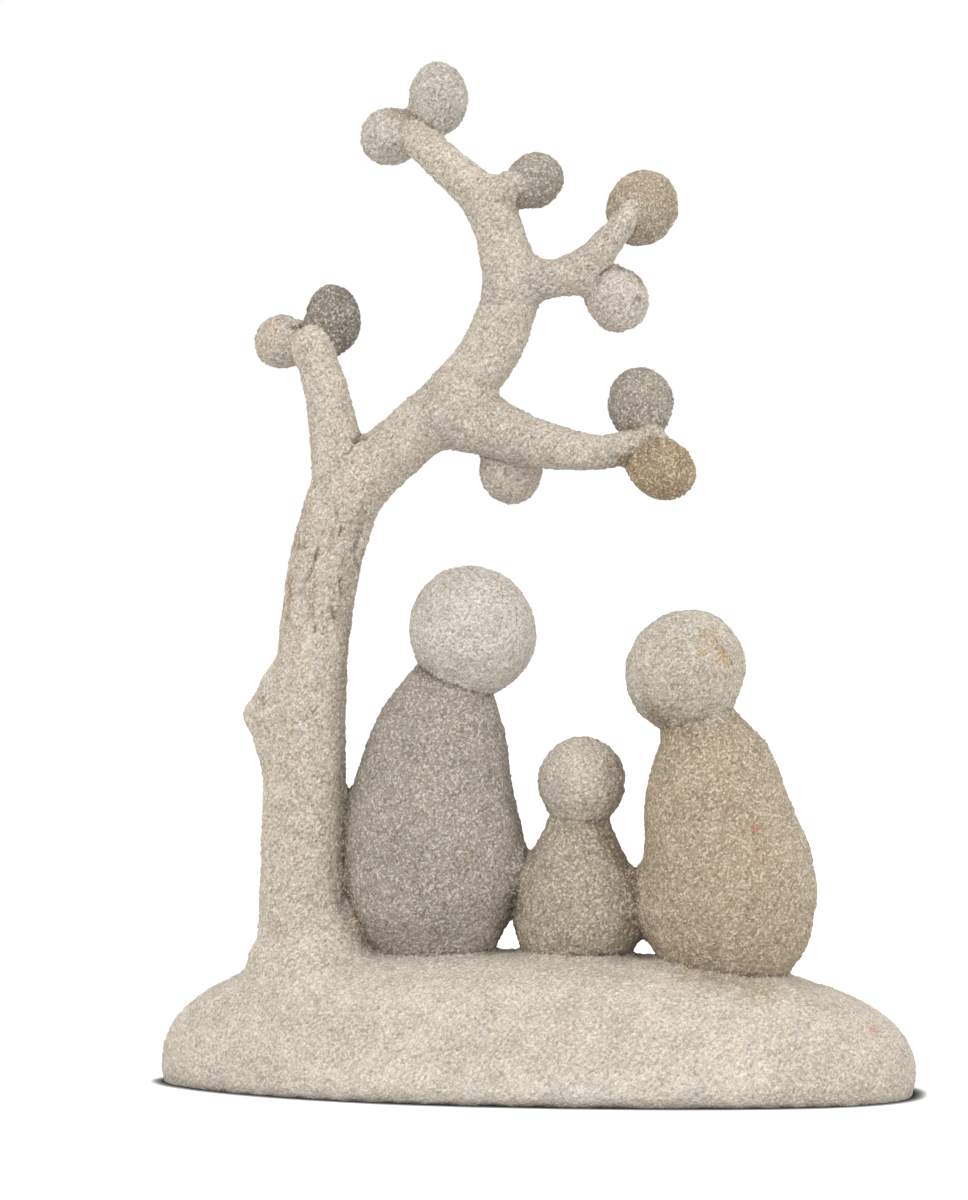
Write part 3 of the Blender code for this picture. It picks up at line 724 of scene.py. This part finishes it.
def crushed_stone():
    """Sand grains of many lights, pale crystals, fine grit and soft mottling over the tints."""
    material = bpy.data.materials.new("crushed_stone")
    material.use_nodes = True
    tree = material.node_tree
    shader = tree.nodes["Principled BSDF"]
    place = new_node(tree, "ShaderNodeTexCoord").outputs["Object"]
    tint = new_node(tree, "ShaderNodeAttribute", attribute_name="tint").outputs
    grains = new_node(tree, "ShaderNodeTexVoronoi", {"Vector": place, "Scale": 1 / GRAIN_SIZE})
    chance = new_node(tree, "ShaderNodeSeparateColor", {"Color": grains.outputs["Color"]})
    grain_colours = ramp(tree, chance.outputs["Red"], GRAIN_COLOURS)
    colour = mixed(tree, tint["Color"], grain_colours, tint["Alpha"])
    between_grains = ramp(tree, grains.outputs["Distance"], GRAIN_EDGES)
    colour = mixed(tree, colour, between_grains, tint["Alpha"])
    dark, light = MOTTLING_SPREAD
    for size, least in MOTTLING:
        noise = new_node(tree, "ShaderNodeTexNoise", {"Vector": place, "Scale": 1 / size})
        mottling = ramp(tree, noise.outputs["Fac"], ((dark, least), (light, 1.0)))
        colour = mixed(tree, colour, mottling)
    warm = new_node(tree, "ShaderNodeTexNoise", {"Vector": place, "Scale": 1 / WARM_SIZE})
    warm_share = ramp(tree, warm.outputs["Fac"], WARM_SHARES)
    colour = mixed(tree, colour, WARM_TINT, warm_share)
    crystals = new_node(tree, "ShaderNodeTexVoronoi", {"Vector": place, "Scale": 1 / CRYSTAL_SIZE})
    pick = new_node(tree, "ShaderNodeSeparateColor", {"Color": crystals.outputs["Color"]})
    pale_share = ramp(tree, pick.outputs["Green"], CRYSTAL_SHARES)
    colour = mixed(tree, colour, (*linear(PALE_CRYSTAL), 1.0), pale_share, "MIX")
    tree.links.new(colour, shader.inputs["Base Color"])
    shader.inputs["Roughness"].default_value = STONE_ROUGHNESS
    shader.inputs["Specular IOR Level"].default_value = STONE_SHEEN
    height = new_node(
        tree, "ShaderNodeMath", {0: grains.outputs["Distance"], 1: -1.0}, operation="MULTIPLY"
    )
    strength, reach = GRAIN_BUMP
    bump = new_node(
        tree,
        "ShaderNodeBump",
        {"Height": height.outputs[0], "Strength": strength, "Distance": reach},
    )
    tree.links.new(bump.outputs["Normal"], shader.inputs["Normal"])
    return material


def plain_white(name, white, glow):
    material = bpy.data.materials.new(name)
    material.use_nodes = True
    shader = material.node_tree.nodes["Principled BSDF"]
    shader.inputs["Base Color"].default_value = (white, white, white, 1.0)
    shader.inputs["Roughness"].default_value = 1.0
    shader.inputs["Specular IOR Level"].default_value = 0.0
    shader.inputs["Emission Color"].default_value = (1.0, 1.0, 1.0, 1.0)
    shader.inputs["Emission Strength"].default_value = glow
    return material


def floor():
    """A plain white floor, its colour darkened close around what stands on it as a painted contact
    shadow.
    """
    bpy.ops.mesh.primitive_circle_add(vertices=96, radius=ROOM, fill_type="NGON")
    obj = bpy.context.object
    obj.name = "floor"
    obj.location = (0.0, 0.0, -FLOOR_DROP)
    paper = plain_white("floor_paper", FLOOR_WHITE, 0.0)
    obj.data.materials.append(paper)
    tree = paper.node_tree
    white = (FLOOR_WHITE, FLOOR_WHITE, FLOOR_WHITE, 1.0)
    shade = new_node(tree, "ShaderNodeAmbientOcclusion", {"Distance": CONTACT_REACH})
    colour = mixed(tree, white, ramp(tree, shade.outputs["AO"], CONTACT_LIGHTS))
    tree.links.new(colour, tree.nodes["Principled BSDF"].inputs["Base Color"])


def backdrop():
    """A plain white room around the floor, which lights nothing."""
    bpy.ops.mesh.primitive_uv_sphere_add(segments=48, ring_count=24, radius=ROOM)
    obj = bpy.context.object
    obj.name = "backdrop"
    obj.data.materials.append(plain_white("backdrop_paint", 0.0, 1.0))
    obj.visible_diffuse = False
    obj.visible_glossy = False
    obj.visible_transmission = False
    obj.visible_shadow = False


def soft_light(name, place, size, power):
    """A square lamp that faces the sculpture's middle."""
    data = bpy.data.lights.new(name, "AREA")
    data.size = size
    data.energy = power
    obj = bpy.data.objects.new(name, data)
    bpy.context.collection.objects.link(obj)
    obj.location = place
    aim = LAMP_AIM - Vector(place)
    obj.rotation_euler = aim.to_track_quat("-Z", "Y").to_euler()


def studio():
    """Even light from all around, most of it from the upper front."""
    scene = bpy.context.scene
    scene.view_settings.view_transform = "Standard"
    world = bpy.data.worlds.new("studio")
    world.use_nodes = True
    tree = world.node_tree
    direction = new_node(tree, "ShaderNodeTexCoord").outputs["Generated"]
    toward = new_node(
        tree, "ShaderNodeVectorMath", {0: direction, 1: LIGHT_FROM}, operation="DOT_PRODUCT"
    )
    level = new_node(
        tree, "ShaderNodeMapRange", {"Value": toward.outputs["Value"], "From Min": -1.0}
    )
    level.inputs["To Min"].default_value, level.inputs["To Max"].default_value = LIGHT_LEVELS
    tree.links.new(level.outputs["Result"], tree.nodes["Background"].inputs["Strength"])
    tree.nodes["Background"].inputs["Color"].default_value = (1.0, 1.0, 1.0, 1.0)
    scene.world = world
    for name, place, size, power in LAMPS:
        soft_light(name, place, size, power)


def camera():
    data = bpy.data.cameras.new("camera")
    data.sensor_width = 36.0
    data.lens = LENS
    obj = bpy.data.objects.new("camera", data)
    bpy.context.collection.objects.link(obj)
    obj.location = CAMERA_PLACE
    obj.rotation_euler = [math.radians(angle) for angle in CAMERA_TURN]
    bpy.context.scene.camera = obj


finish = crushed_stone()
for part in parts_of(stone_skin()):
    part.data.materials.append(finish)
    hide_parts(NODE)
    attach(part, "root")
floor()
backdrop()
studio()
camera()
